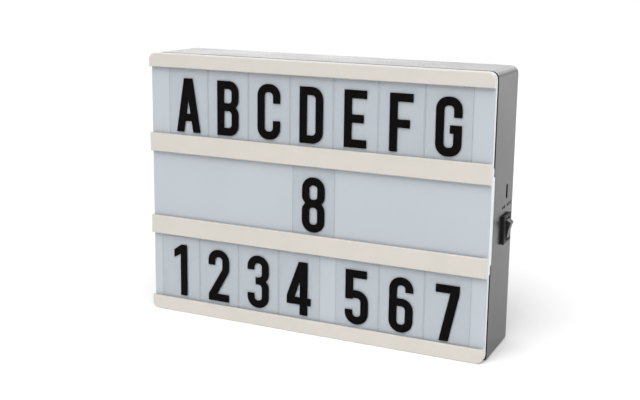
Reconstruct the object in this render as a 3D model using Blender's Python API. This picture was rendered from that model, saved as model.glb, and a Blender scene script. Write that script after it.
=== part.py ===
"""Tabletop light box with a changeable letter front, modelled piece by piece.

Units are metres. The front faces -Y, +X is right and +Z is up.
The origin is on the base, half way between the sides and between front and rear.
"""
import math

import bmesh
import bpy
from mathutils import Vector

# Whole box
BOX_WIDTH = 0.210
BOX_DEPTH = 0.047
BOX_HEIGHT = 0.1565
CORNER_RADIUS = 0.004
BASE_CORNER_RADIUS = 0.0013

# Gap left between pieces that touch, and how far a cutter passes the face it cuts
SEAT_GAP = 0.0003
CUT_OVERRUN = 0.001

# Diffuser tray
PANEL_WALL = 0.0018
SKIRT_WALL = 0.0016
SKIRT_DEPTH = 0.00265
TRAY_EDGE_RADIUS = 0.0012
TAB_TOP_INSET = 0.0030
TAB_BASE_INSET = 0.0010
SHOULDER_LENGTH = 0.0048
SHOULDER_SETBACK = 0.0020
POST_RADIUS = 0.0033
POST_INSET = 0.0095

# Rails on the front of the tray, with grooves that hold the tiles
RAIL_DEPTH = 0.0025
RAIL_LIP = 0.0013
LIP_REACH = 0.0035
RAIL_END_STOP = 0.0020
RAIL_EDGE_BEVEL = 0.0004
RAIL_CORNER_RADIUS = 0.0008
TOP_RAIL_HEIGHT = 0.0081
MIDDLE_RAIL_HEIGHT = 0.0111
BOTTOM_RAIL_HEIGHT = 0.0083
WINDOW_COUNT = 3

# Letter tiles and where their groups stand in each row
TILE_WIDTH = 0.0263
TILE_THICKNESS = 0.0004
TILE_UPPER_HOLD = 0.0014
TOP_ROW_INSET = 0.0110
BOTTOM_ROW_INSET = 0.0043
WORD_GAP = 0.0095
FIRST_WORD_TILES = 4
MIDDLE_TILE_SHIFT = 0.0028

# Rear housing
SEAM_WIDTH = 0.0023
HOUSING_WALL = 0.0022
REAR_WALL = 0.0022
HOUSING_EDGE_RADIUS = 0.0010
NOTCH_DEPTH = 0.0012
TONGUE_INSET = 0.0019
TONGUE_WALL = 0.0012
TONGUE_ROOT = 0.0037
BOSS_RADIUS = 0.0042
BOSS_STEP = 0.0015
HEAD_SEAT_WALL = 0.0040
KEYHOLE_SIDE = 0.060
KEYHOLE_FROM_TOP = 0.031
KEYHOLE_HEAD_RADIUS = 0.0042
KEYHOLE_NECK_RADIUS = 0.0022
KEYHOLE_RISE = 0.0085
FINGER_RADIUS = 0.0075
FINGER_DEPTH = 0.0011

# Housing screws
SCREW_RADIUS = 0.00135
SCREW_LENGTH = 0.012
SCREW_HEAD_RADIUS = 0.0027
SCREW_HEAD_HEIGHT = 0.0018
DRIVE_WIDTH = 0.0007
DRIVE_LENGTH = 0.0034
DRIVE_DEPTH = 0.0008
HEAD_RIM_SHARE = 0.6
HEAD_CROWN_SHARE = 0.75

# Battery bay, its cells and contacts
CELL_COUNT = 4
CELL_RADIUS = 0.00715
CELL_LENGTH = 0.0495
CELL_NUB_RADIUS = 0.0027
CELL_NUB_LENGTH = 0.0010
CELL_EDGE = 0.0008
CELL_GAP = 0.0005
BAY_WALL = 0.0024
BAY_FLOOR = 0.0015
BAY_BASE = 0.030
CONTACT_THICKNESS = 0.0005
CONTACT_MARGIN = 0.0022
LEAF_HEIGHT = 0.0022
LEAF_WIDTH = 0.0050
LEAF_LENGTH = 0.0090

# Battery door
DOOR_WALL = 0.0018
DOOR_OVERLAP = 0.0014
DOOR_EDGE_RADIUS = 0.0005
DOOR_CORNER_RADIUS = 0.0008
HOOK_SIDE = 0.018
HOOK_WIDTH = 0.006
HOOK_WALL = 0.0012
HOOK_DROP = 0.0012
HOOK_TOE = 0.0020
LEDGE_WALL = 0.0005
THUMB_RIB_COUNT = 4
THUMB_RIB_WIDTH = 0.014
THUMB_RIB_HEIGHT = 0.0008
THUMB_RIB_PITCH = 0.0020
THUMB_RIB_DEPTH = 0.0004
THUMB_RIB_FROM_TOP = 0.0022

# Reflector and LED strips
REFLECTOR_WALL = 0.0006
REFLECTOR_MARGIN = 0.0023
REFLECTOR_NOTCH = 0.0145
REFLECTOR_CLEARANCE = 0.0010
WIRE_HOLE_RADIUS = 0.0020
STRIP_END_MARGIN = 0.0150
STRIP_HEIGHT = 0.0080
STRIP_WALL = 0.0010
LED_PITCH = 0.0225
LED_SIZE = 0.0050
LED_HEIGHT = 0.0016
LED_SINK = 0.0002

# Charging socket and control board
SOCKET_SLOT_WIDTH = 0.0032
SOCKET_SLOT_HEIGHT = 0.0077
SOCKET_ABOVE_MIDDLE = 0.01055
SOCKET_FROM_REAR = 0.0134
SOCKET_WIDTH = 0.0026
SOCKET_TALL = 0.0074
SOCKET_LENGTH = 0.0055
SOCKET_WALL = 0.00035
BOARD_LENGTH = 0.018
BOARD_HEIGHT = 0.020
BOARD_WALL = 0.0012
BOARD_MARGIN = 0.0006
BOARD_BOSS_RADIUS = 0.0026
BOARD_SCREW_RADIUS = 0.0009
BOARD_SCREW_HEAD_RADIUS = 0.0017
BOARD_SCREW_HEAD_HEIGHT = 0.0011
BOARD_SCREW_LENGTH = 0.0052
BOARD_SCREW_INSET = 0.0030
CHIP_SIZE = 0.0045
CHIP_HEIGHT = 0.0014

# Rocker switch in the right wall
SWITCH_BELOW_SOCKET = 0.0205
SWITCH_FROM_REAR = 0.0147
BEZEL_WIDTH = 0.0138
BEZEL_TALL = 0.0158
BEZEL_WALL = 0.0015
BEZEL_EDGE = 0.0004
SWITCH_BODY_WIDTH = 0.0110
SWITCH_BODY_TALL = 0.0140
SWITCH_BODY_DEPTH = 0.0120
SWITCH_WALL = 0.0007
SWITCH_FLOOR = 0.0012
ROCKER_WIDTH = 0.0061
ROCKER_HALF_TALL = 0.0044
ROCKER_CREST = 0.0037
ROCKER_VALLEY = 0.0034
ROCKER_STEM = 0.0030
ROCKER_PIVOT_SINK = 0.0004
ROCKER_TILT = 12.0
ROCKER_SIDE_GAP = 0.00035
PIVOT_PIN_RADIUS = 0.0009
PIVOT_PIN_SOCKET = 0.0005
TERMINAL_WALL = 0.0008
TERMINAL_WIDTH = 0.0048
TERMINAL_LENGTH = 0.0060
TERMINAL_SIDE = 0.0040

# Wires
WIRE_RADIUS = 0.0006
WIRE_PORT_RADIUS = 0.0011
WIRE_STEP = 0.0024
WIRE_SWING = 0.0030
WIRE_LAY = 0.0060
PAD_REACH = 0.0024
PAD_SPREAD = 0.0022

# Facets
ARC_STEPS = 4
ROUND_STEPS = 20
WIRE_SIDES_LEVEL = 1

# Places worked out from the sizes above
RIGHT_X = BOX_WIDTH / 2
LEFT_X = -RIGHT_X
REAR_Y = BOX_DEPTH / 2
FRONT_Y = -REAR_Y
MIDDLE_Z = BOX_HEIGHT / 2
PANEL_Y = FRONT_Y + RAIL_DEPTH
SKIRT_END_Y = PANEL_Y + SKIRT_DEPTH
HOUSING_FRONT_Y = SKIRT_END_Y + SEAM_WIDTH
TAB_END_Y = HOUSING_FRONT_Y + NOTCH_DEPTH - SEAT_GAP
SHOULDER_END_Y = TAB_END_Y - SHOULDER_SETBACK
REAR_INNER_Y = REAR_Y - REAR_WALL
WALL_INNER_X = RIGHT_X - HOUSING_WALL

RAIL_HEIGHTS = BOTTOM_RAIL_HEIGHT + (WINDOW_COUNT - 1) * MIDDLE_RAIL_HEIGHT + TOP_RAIL_HEIGHT
WINDOW_HEIGHT = (BOX_HEIGHT - RAIL_HEIGHTS) / WINDOW_COUNT
BOTTOM_WINDOW_Z = BOTTOM_RAIL_HEIGHT
MIDDLE_WINDOW_Z = BOTTOM_WINDOW_Z + WINDOW_HEIGHT + MIDDLE_RAIL_HEIGHT
TOP_WINDOW_Z = MIDDLE_WINDOW_Z + WINDOW_HEIGHT + MIDDLE_RAIL_HEIGHT
LOWER_RAIL_Z = MIDDLE_WINDOW_Z - MIDDLE_RAIL_HEIGHT
UPPER_RAIL_Z = TOP_WINDOW_Z - MIDDLE_RAIL_HEIGHT
TOP_RAIL_Z = TOP_WINDOW_Z + WINDOW_HEIGHT
SHOULDER_LOW_Z = LOWER_RAIL_Z + TAB_BASE_INSET
TAB_LOW_Z = SHOULDER_LOW_Z + SHOULDER_LENGTH
SHOULDER_HIGH_Z = TOP_WINDOW_Z - TAB_TOP_INSET
TAB_HIGH_Z = SHOULDER_HIGH_Z - SHOULDER_LENGTH

TILE_HEIGHT = WINDOW_HEIGHT + LIP_REACH - SEAT_GAP + TILE_UPPER_HOLD
TILE_PITCH = TILE_WIDTH + SEAT_GAP
GROOVE_LEFT_X = LEFT_X + RAIL_END_STOP
GROOVE_LENGTH = BOX_WIDTH - 2 * RAIL_END_STOP

CELL_PITCH = 2 * CELL_RADIUS + CELL_GAP
CONTACT_SPACE = CONTACT_THICKNESS + 2 * SEAT_GAP
BAY_LENGTH = CELL_LENGTH + CELL_NUB_LENGTH + LEAF_HEIGHT + 2 * CONTACT_SPACE
BAY_HEIGHT = CELL_COUNT * CELL_PITCH + CELL_GAP
BAY_HALF = BAY_LENGTH / 2
BAY_TOP = BAY_BASE + BAY_HEIGHT
DOOR_INNER_Y = REAR_Y - DOOR_WALL
LEDGE_Y = DOOR_INNER_Y - SEAT_GAP
CELL_Y = DOOR_INNER_Y - CELL_GAP - CELL_RADIUS
BAY_FLOOR_Y = CELL_Y - CELL_RADIUS - CELL_GAP
BAY_FRONT_Y = BAY_FLOOR_Y - BAY_FLOOR
DOOR_LOW_Z = BAY_BASE - DOOR_OVERLAP
DOOR_HIGH_Z = BAY_TOP + DOOR_OVERLAP
DOOR_HALF = BAY_HALF + DOOR_OVERLAP

REFLECTOR_Y = BAY_FRONT_Y - SEAT_GAP - REFLECTOR_WALL
STRIP_Y = REFLECTOR_Y - SEAT_GAP - STRIP_WALL
BOSS_FRONT_Y = REFLECTOR_Y - BOSS_STEP
HEAD_SEAT_Y = BOSS_FRONT_Y + HEAD_SEAT_WALL
SOCKET_HEIGHT = MIDDLE_Z + SOCKET_ABOVE_MIDDLE
SOCKET_Y = REAR_Y - SOCKET_FROM_REAR
BOARD_Y = SOCKET_Y + SOCKET_WIDTH / 2 + SEAT_GAP
BOARD_REAR_Y = BOARD_Y + BOARD_WALL
BOARD_RIGHT_X = WALL_INNER_X - BOARD_MARGIN
BOARD_LEFT_X = BOARD_RIGHT_X - BOARD_LENGTH
SWITCH_HEIGHT = SOCKET_HEIGHT - SWITCH_BELOW_SOCKET
SWITCH_Y = REAR_Y - SWITCH_FROM_REAR
BEZEL_X = RIGHT_X + SEAT_GAP
BEZEL_FACE_X = BEZEL_X + BEZEL_WALL
SWITCH_TAIL_X = BEZEL_X - SWITCH_BODY_DEPTH
PIVOT_X = RIGHT_X - ROCKER_PIVOT_SINK
STRIP_LENGTH = BOX_WIDTH - 2 * STRIP_END_MARGIN
STRIP_HALF = STRIP_LENGTH / 2
LED_COUNT = round(STRIP_LENGTH / LED_PITCH)
BOSS_PLACES = [(side * (RIGHT_X - POST_INSET), z)
               for side in (-1, 1) for z in (POST_INSET, BOX_HEIGHT - POST_INSET)]


# Materials

def material(name, colour, roughness, metallic=0.0):
    """A plain Principled material."""
    made = bpy.data.materials.new(name)
    made.use_nodes = True
    shader = made.node_tree.nodes["Principled BSDF"]
    shader.inputs["Base Color"].default_value = (*colour, 1.0)
    shader.inputs["Roughness"].default_value = roughness
    shader.inputs["Metallic"].default_value = metallic
    return made


# Mesh building

def rounded_outline(width, height, radius, base_radius=None):
    """Points of a rounded rectangle round (0, 0), counter-clockwise seen with u right and v up.

    Its two lower corners take the base radius, where one is given.
    """
    points = []
    for corner in range(4):
        u_side = 1 if corner in (0, 3) else -1
        v_side = 1 if corner in (0, 1) else -1
        turn = radius if base_radius is None or v_side > 0 else base_radius
        for step in range(ARC_STEPS + 1):
            angle = math.radians(90 * (corner + step / ARC_STEPS))
            u = u_side * (width / 2 - turn) + turn * math.cos(angle)
            v = v_side * (height / 2 - turn) + turn * math.sin(angle)
            points.append((u, v))
    return points


def loft(bm, rings):
    """One closed skin through rings of points, capped at both ends."""
    loops = [[bm.verts.new(point) for point in ring] for ring in rings]
    count = len(loops[0])
    for near, far in zip(loops, loops[1:]):
        for index in range(count):
            following = (index + 1) % count
            bm.faces.new((near[index], near[following], far[following], far[index]))
    bm.faces.new(list(reversed(loops[0])))
    bm.faces.new(loops[-1])


def finish(bm, name, surface, location=(0, 0, 0), smooth_angle=35):
    """Turn a bmesh into a named object, its faces pointing out and its curves smooth."""
    bmesh.ops.recalc_face_normals(bm, faces=bm.faces)
    mesh = bpy.data.meshes.new(name)
    bm.to_mesh(mesh)
    bm.free()
    mesh.shade_smooth()
    mesh.set_sharp_from_angle(angle=math.radians(smooth_angle))
    if surface is not None:
        mesh.materials.append(surface)
    made = bpy.data.objects.new(name, mesh)
    made.location = location
    bpy.context.collection.objects.link(made)
    return made


def add_box(bm, x_range, y_range, z_range):
    """Add a box between two limits on each axis."""
    low = Vector((x_range[0], y_range[0], z_range[0]))
    high = Vector((x_range[1], y_range[1], z_range[1]))
    rings = []
    for z in (low.z, high.z):
        rings.append([(low.x, low.y, z), (high.x, low.y, z), (high.x, high.y, z), (low.x, high.y, z)])
    loft(bm, rings)


def box(name, x_range, y_range, z_range, surface=None, location=(0, 0, 0)):
    """A plain box object."""
    bm = bmesh.new()
    add_box(bm, x_range, y_range, z_range)
    return finish(bm, name, surface, location)


def stack_y(name, width, height, radius, sections, centre=(0, 0), surface=None, location=(0, 0, 0),
            base_radius=None):
    """A rounded block along Y; each section is a place along Y and how far its outline draws in."""
    rings = []
    for y, inset in sections:
        base_turn = None if base_radius is None else base_radius - inset
        outline = rounded_outline(width - 2 * inset, height - 2 * inset, radius - inset, base_turn)
        rings.append([(centre[0] + u, y, centre[1] + v) for u, v in outline])
    bm = bmesh.new()
    loft(bm, rings)
    return finish(bm, name, surface, location)


def add_turned(bm, profile, axis, centre=(0, 0, 0)):
    """Add a round solid; the profile is (place along the axis, radius) from end to end."""
    rings = []
    for along, radius in profile:
        ring = []
        for step in range(ROUND_STEPS):
            angle = 2 * math.pi * step / ROUND_STEPS
            across = (radius * math.cos(angle), radius * math.sin(angle))
            place = {"X": (along, *across), "Y": (across[0], along, across[1])}[axis]
            ring.append(Vector(centre) + Vector(place))
        rings.append(ring)
    loft(bm, rings)


def turned(name, profile, axis, surface=None, location=(0, 0, 0)):
    """A round object about X or Y."""
    bm = bmesh.new()
    add_turned(bm, profile, axis)
    return finish(bm, name, surface, location)


def arc_sections(start_y, radius, towards):
    """Sections of a rounded edge that starts flat at start_y and runs towards +1 or -1 along Y."""
    sections = []
    for step in range(ARC_STEPS + 1):
        angle = math.radians(90 * step / ARC_STEPS)
        sections.append((start_y + towards * radius * (1 - math.cos(angle)), radius * (1 - math.sin(angle))))
    return sections


def combine(target, operation, *tools):
    """Cut, join or intersect a solid with helper solids, which stay hidden."""
    for tool in tools:
        modifier = target.modifiers.new(tool.name, "BOOLEAN")
        modifier.operation = operation
        modifier.solver = "EXACT"
        modifier.object = tool
        tool.hide_render = True
        tool.display_type = "WIRE"
    return target


def around(centre, size):
    """Limits of a span of a given size round its centre."""
    return (centre - size / 2, centre + size / 2)


# Front

def front_envelope(name, start_y, radius):
    """The box's outer form from a front plane back, with its front edges rounded."""
    sections = arc_sections(start_y, radius, 1)
    sections.append((REAR_Y + CUT_OVERRUN, 0))
    return stack_y(name, BOX_WIDTH, BOX_HEIGHT, CORNER_RADIUS, sections, centre=(0, MIDDLE_Z))


def diffuser_tray(surface):
    """Opal panel with a short skirt, a stepped tab down the middle of each side, and four posts."""
    sections = arc_sections(PANEL_Y, TRAY_EDGE_RADIUS, 1)
    sections.append((TAB_END_Y, 0))
    tray = stack_y("diffuser_tray", BOX_WIDTH, BOX_HEIGHT, CORNER_RADIUS, sections,
                   centre=(0, MIDDLE_Z), surface=surface)
    hollow = [(PANEL_Y + PANEL_WALL, SKIRT_WALL), (TAB_END_Y + CUT_OVERRUN, SKIRT_WALL)]
    combine(tray, "DIFFERENCE", stack_y("tray_hollow", BOX_WIDTH, BOX_HEIGHT, CORNER_RADIUS, hollow,
                                        centre=(0, MIDDLE_Z)))
    across = around(0, BOX_WIDTH + 2 * CUT_OVERRUN)
    beyond_y = TAB_END_Y + CUT_OVERRUN
    lower = box("tray_lower_relief", across, (SKIRT_END_Y, beyond_y), (-CUT_OVERRUN, SHOULDER_LOW_Z))
    upper = box("tray_upper_relief", across, (SKIRT_END_Y, beyond_y),
                (SHOULDER_HIGH_Z, BOX_HEIGHT + CUT_OVERRUN))
    lower_step = box("tray_lower_step", across, (SHOULDER_END_Y, beyond_y),
                     (SHOULDER_LOW_Z - CUT_OVERRUN, TAB_LOW_Z))
    upper_step = box("tray_upper_step", across, (SHOULDER_END_Y, beyond_y),
                     (TAB_HIGH_Z, SHOULDER_HIGH_Z + CUT_OVERRUN))
    combine(tray, "DIFFERENCE", lower, upper, lower_step, upper_step)
    posts = bmesh.new()
    pilots = bmesh.new()
    post_end_y = BOSS_FRONT_Y - SEAT_GAP
    pilot_start_y = HEAD_SEAT_Y + SEAT_GAP - SCREW_LENGTH - CUT_OVERRUN
    for x, z in BOSS_PLACES:
        add_turned(posts, [(PANEL_Y + PANEL_WALL / 2, POST_RADIUS), (post_end_y, POST_RADIUS)],
                   "Y", (x, 0, z))
        add_turned(pilots, [(pilot_start_y, SCREW_RADIUS + SEAT_GAP),
                            (post_end_y + CUT_OVERRUN, SCREW_RADIUS + SEAT_GAP)], "Y", (x, 0, z))
    combine(tray, "UNION", finish(posts, "tray_posts", surface))
    combine(tray, "DIFFERENCE", finish(pilots, "tray_pilots", surface))
    return tray


def rail(name, low_z, height, grooves, envelope, surface):
    """A rail across the front: a bevelled bar with a groove behind its lower or upper lip."""
    high_z = low_z + height
    back_y = PANEL_Y - SEAT_GAP
    section = [(back_y, low_z), (back_y, high_z),
               (FRONT_Y + RAIL_EDGE_BEVEL, high_z), (FRONT_Y, high_z - RAIL_EDGE_BEVEL),
               (FRONT_Y, low_z + RAIL_EDGE_BEVEL), (FRONT_Y + RAIL_EDGE_BEVEL, low_z)]
    bm = bmesh.new()
    loft(bm, [[(x, y, z) for y, z in section] for x in around(0, BOX_WIDTH + 2 * CUT_OVERRUN)])
    bar = finish(bm, name, surface)
    combine(bar, "INTERSECT", envelope)
    span = around(0, GROOVE_LENGTH)
    behind_lip = (FRONT_Y + RAIL_LIP, back_y + CUT_OVERRUN)
    if "lower" in grooves:
        combine(bar, "DIFFERENCE", box(name + "_lower_groove", span, behind_lip,
                                       (low_z - CUT_OVERRUN, low_z + LIP_REACH)))
    if "upper" in grooves:
        combine(bar, "DIFFERENCE", box(name + "_upper_groove", span, behind_lip,
                                       (high_z - LIP_REACH, high_z + CUT_OVERRUN)))
    return bar


def rails(surface):
    """The four rails, from the base up."""
    envelope = front_envelope("rail_envelope", FRONT_Y, RAIL_CORNER_RADIUS)
    rail("bottom_rail", 0, BOTTOM_RAIL_HEIGHT, ("upper",), envelope, surface)
    rail("lower_rail", LOWER_RAIL_Z, MIDDLE_RAIL_HEIGHT, ("lower", "upper"), envelope, surface)
    rail("upper_rail", UPPER_RAIL_Z, MIDDLE_RAIL_HEIGHT, ("lower", "upper"), envelope, surface)
    rail("top_rail", TOP_RAIL_Z, TOP_RAIL_HEIGHT, ("lower",), envelope, surface)


def tile_row(row, window_z, start_x, count, first_number, surface):
    """A run of clear tiles side by side, standing in the groove under one window."""
    for index in range(count):
        left_x = start_x + index * TILE_PITCH
        box("letter_tile_%s_%d" % (row, first_number + index), (0, TILE_WIDTH),
            (-TILE_THICKNESS, 0), (0, TILE_HEIGHT), surface,
            (left_x, PANEL_Y - SEAT_GAP, window_z - LIP_REACH + SEAT_GAP))


def fitting_tiles(length):
    """How many tiles stand side by side in a length."""
    return math.floor(length / TILE_PITCH)


def letter_tiles(surface):
    """Three rows of tiles; the bottom row is two words with a gap between them."""
    tile_row("top", TOP_WINDOW_Z, GROOVE_LEFT_X + TOP_ROW_INSET,
             fitting_tiles(GROOVE_LENGTH - TOP_ROW_INSET), 1, surface)
    tile_row("middle", MIDDLE_WINDOW_Z, MIDDLE_TILE_SHIFT - TILE_WIDTH / 2, 1, 1, surface)
    tile_row("bottom", BOTTOM_WINDOW_Z, GROOVE_LEFT_X + BOTTOM_ROW_INSET, FIRST_WORD_TILES, 1, surface)
    taken = BOTTOM_ROW_INSET + FIRST_WORD_TILES * TILE_PITCH + WORD_GAP
    tile_row("bottom", BOTTOM_WINDOW_Z, GROOVE_LEFT_X + taken,
             fitting_tiles(GROOVE_LENGTH - taken), FIRST_WORD_TILES + 1, surface)


# Rear housing

def keyhole(name, x):
    """Cutter for a hanging hole: a round head hole with a narrow neck above it."""
    head_z = BOX_HEIGHT - KEYHOLE_FROM_TOP
    join_angle = math.asin(KEYHOLE_NECK_RADIUS / KEYHOLE_HEAD_RADIUS)
    points = []
    for step in range(ROUND_STEPS):
        angle = math.pi / 2 + join_angle + (2 * math.pi - 2 * join_angle) * step / (ROUND_STEPS - 1)
        points.append((x + KEYHOLE_HEAD_RADIUS * math.cos(angle),
                       head_z + KEYHOLE_HEAD_RADIUS * math.sin(angle)))
    for step in range(2 * ARC_STEPS + 1):
        angle = math.pi * step / (2 * ARC_STEPS)
        points.append((x + KEYHOLE_NECK_RADIUS * math.cos(angle),
                       head_z + KEYHOLE_RISE + KEYHOLE_NECK_RADIUS * math.sin(angle)))
    bm = bmesh.new()
    reach = (REAR_INNER_Y - CUT_OVERRUN, REAR_Y + CUT_OVERRUN)
    loft(bm, [[(px, y, pz) for px, pz in points] for y in reach])
    return finish(bm, name, None)


def tongue(surface):
    """The inner rim that reaches into the tray's skirt."""
    front_y = PANEL_Y + PANEL_WALL + SEAT_GAP
    back_y = HOUSING_FRONT_Y + TONGUE_ROOT
    rings = []
    for y, inset in ((front_y, TONGUE_INSET), (back_y, TONGUE_INSET),
                     (back_y, TONGUE_INSET + TONGUE_WALL), (front_y, TONGUE_INSET + TONGUE_WALL)):
        outline = rounded_outline(BOX_WIDTH - 2 * inset, BOX_HEIGHT - 2 * inset, CORNER_RADIUS - inset)
        rings.append([(u, y, MIDDLE_Z + v) for u, v in outline])
    bm = bmesh.new()
    loops = [[bm.verts.new(point) for point in ring] for ring in rings]
    count = len(loops[0])
    for near, far in zip(loops, loops[1:] + loops[:1]):
        for index in range(count):
            following = (index + 1) % count
            bm.faces.new((near[index], near[following], far[following], far[index]))
    return finish(bm, "housing_tongue", surface)


def housing_shell(surface):
    """Sides and rear wall, notched for the tray's tabs, with the tongue inside the front rim."""
    sections = list(reversed(arc_sections(REAR_Y, HOUSING_EDGE_RADIUS, -1)))
    sections.insert(0, (HOUSING_FRONT_Y, 0))
    housing = stack_y("rear_housing", BOX_WIDTH, BOX_HEIGHT, CORNER_RADIUS, sections,
                      centre=(0, MIDDLE_Z), surface=surface, base_radius=BASE_CORNER_RADIUS)
    hollow = [(HOUSING_FRONT_Y - CUT_OVERRUN, HOUSING_WALL), (REAR_INNER_Y, HOUSING_WALL)]
    cavity = stack_y("housing_cavity", BOX_WIDTH, BOX_HEIGHT, CORNER_RADIUS, hollow,
                     centre=(0, MIDDLE_Z))
    notch = box("housing_tab_notch", around(0, BOX_WIDTH + 2 * CUT_OVERRUN),
                (HOUSING_FRONT_Y - CUT_OVERRUN, HOUSING_FRONT_Y + NOTCH_DEPTH),
                (TAB_LOW_Z - SEAT_GAP, TAB_HIGH_Z + SEAT_GAP))
    combine(housing, "DIFFERENCE", cavity, notch)
    combine(housing, "UNION", tongue(surface))
    return housing


def screw_bosses(housing, surface):
    """Four tubes from the rear wall that hold the housing screws."""
    bosses = bmesh.new()
    bores = bmesh.new()
    root_y = REAR_INNER_Y + REAR_WALL / 2
    bore_radius = SCREW_RADIUS + SEAT_GAP
    well_radius = SCREW_HEAD_RADIUS + SEAT_GAP
    for x, z in BOSS_PLACES:
        add_turned(bosses, [(BOSS_FRONT_Y, BOSS_RADIUS), (root_y, BOSS_RADIUS)], "Y", (x, 0, z))
        add_turned(bores, [(BOSS_FRONT_Y - CUT_OVERRUN, bore_radius), (HEAD_SEAT_Y, bore_radius),
                           (HEAD_SEAT_Y, well_radius), (REAR_Y + CUT_OVERRUN, well_radius)],
                   "Y", (x, 0, z))
    combine(housing, "UNION", finish(bosses, "housing_bosses", surface))
    combine(housing, "DIFFERENCE", finish(bores, "housing_bores", surface))


def battery_bay(housing, surface):
    """The bay's walls and floor, its door recess, hook slots, finger recess and wire ports."""
    walls = box("bay_block", around(0, BAY_LENGTH + 2 * BAY_WALL), (BAY_FRONT_Y, REAR_INNER_Y + REAR_WALL / 2),
                (BAY_BASE - BAY_WALL, BAY_TOP + BAY_WALL), surface)
    combine(housing, "UNION", walls)
    cavity = box("bay_cavity", around(0, BAY_LENGTH), (BAY_FLOOR_Y, REAR_Y + CUT_OVERRUN),
                 (BAY_BASE, BAY_TOP))
    recess = box("bay_door_recess", around(0, 2 * DOOR_HALF + 2 * SEAT_GAP),
                 (LEDGE_Y, REAR_Y + CUT_OVERRUN), (DOOR_LOW_Z - SEAT_GAP, DOOR_HIGH_Z + SEAT_GAP))
    slots = bmesh.new()
    slot_rear_y = LEDGE_Y - LEDGE_WALL
    slot_front_y = slot_rear_y - HOOK_WALL - 4 * SEAT_GAP
    for side in (-1, 1):
        add_box(slots, around(side * HOOK_SIDE, HOOK_WIDTH + 4 * SEAT_GAP), (slot_front_y, slot_rear_y),
                (BAY_BASE - BAY_WALL - CUT_OVERRUN, BAY_BASE + CUT_OVERRUN))
    ports = bmesh.new()
    for number in (0, CELL_COUNT - 1):
        add_turned(ports, [(BAY_HALF - CUT_OVERRUN, WIRE_PORT_RADIUS),
                           (BAY_HALF + BAY_WALL + CUT_OVERRUN, WIRE_PORT_RADIUS)],
                   "X", (0, CELL_Y, cell_z(number)))
    finger = turned("bay_finger_recess", [(REAR_Y - FINGER_DEPTH, FINGER_RADIUS),
                                          (REAR_Y + CUT_OVERRUN, FINGER_RADIUS)],
                    "Y", location=(0, 0, DOOR_HIGH_Z))
    combine(housing, "DIFFERENCE", cavity, recess, finish(slots, "bay_hook_slots", None),
            finish(ports, "bay_wire_ports", None), finger)


def side_wall_openings(housing):
    """The switch cut-out and the socket slot in the right wall."""
    through = (WALL_INNER_X - CUT_OVERRUN, RIGHT_X + CUT_OVERRUN)
    switch_hole = box("switch_cutout", through, around(SWITCH_Y, SWITCH_BODY_WIDTH + 2 * SEAT_GAP),
                      around(SWITCH_HEIGHT, SWITCH_BODY_TALL + 2 * SEAT_GAP))
    slot = box("socket_slot", through, around(SOCKET_Y, SOCKET_SLOT_WIDTH),
               around(SOCKET_HEIGHT, SOCKET_SLOT_HEIGHT))
    combine(housing, "DIFFERENCE", switch_hole, slot)


def board_screw_places():
    """Centres of the board's two screws, as X and Z."""
    x = BOARD_LEFT_X + BOARD_SCREW_INSET
    reach = BOARD_HEIGHT / 2 - BOARD_SCREW_INSET
    return [(x, SOCKET_HEIGHT - reach), (x, SOCKET_HEIGHT + reach)]


def board_bosses(housing, surface):
    """Two bosses on the rear wall that the control board is screwed to."""
    bosses = bmesh.new()
    pilots = bmesh.new()
    pilot_end_y = BOARD_Y + BOARD_SCREW_LENGTH
    for x, z in board_screw_places():
        add_turned(bosses, [(BOARD_REAR_Y + SEAT_GAP, BOARD_BOSS_RADIUS),
                            (REAR_INNER_Y + REAR_WALL / 2, BOARD_BOSS_RADIUS)], "Y", (x, 0, z))
        add_turned(pilots, [(BOARD_REAR_Y - CUT_OVERRUN, BOARD_SCREW_RADIUS + SEAT_GAP),
                            (pilot_end_y, BOARD_SCREW_RADIUS + SEAT_GAP)], "Y", (x, 0, z))
    combine(housing, "UNION", finish(bosses, "board_bosses", surface))
    combine(housing, "DIFFERENCE", finish(pilots, "board_pilots", surface))


def rear_housing(surface):
    """The whole rear housing."""
    housing = housing_shell(surface)
    screw_bosses(housing, surface)
    battery_bay(housing, surface)
    board_bosses(housing, surface)
    side_wall_openings(housing)
    combine(housing, "DIFFERENCE", keyhole("keyhole_left", -KEYHOLE_SIDE),
            keyhole("keyhole_right", KEYHOLE_SIDE))


# Fasteners

def screw(name, radius, length, head_radius, head_height, towards, location, surface):
    """A pan-head screw along Y, its head seat at the location and its tip pointing towards -1 or +1."""
    tip = towards * length
    top = -towards * head_height
    profile = [(tip, radius / 2), (tip - towards * radius, radius), (0, radius), (0, head_radius),
               (top * HEAD_RIM_SHARE, head_radius), (top, head_radius * HEAD_CROWN_SHARE)]
    made = turned(name, profile, "Y", surface, location)
    drive_scale = head_radius / SCREW_HEAD_RADIUS
    depth = sorted((top - towards * CUT_OVERRUN, top + towards * DRIVE_DEPTH * drive_scale))
    for number, (wide, tall) in enumerate(((DRIVE_LENGTH, DRIVE_WIDTH), (DRIVE_WIDTH, DRIVE_LENGTH))):
        slot = box("%s_drive_%d" % (name, number), around(0, wide * drive_scale), depth,
                   around(0, tall * drive_scale), location=location)
        combine(made, "DIFFERENCE", slot)
    return made


def housing_screws(surface):
    """Four screws from the rear into the tray's posts."""
    for number, (x, z) in enumerate(BOSS_PLACES, 1):
        screw("housing_screw_%d" % number, SCREW_RADIUS, SCREW_LENGTH, SCREW_HEAD_RADIUS,
              SCREW_HEAD_HEIGHT, -1, (x, HEAD_SEAT_Y + SEAT_GAP, z), surface)


def board_screws(surface):
    """Two small screws that hold the control board."""
    for number, (x, z) in enumerate(board_screw_places(), 1):
        screw("board_screw_%d" % number, BOARD_SCREW_RADIUS, BOARD_SCREW_LENGTH, BOARD_SCREW_HEAD_RADIUS,
              BOARD_SCREW_HEAD_HEIGHT, 1, (x, BOARD_Y - SEAT_GAP, z), surface)


# Battery parts

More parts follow.
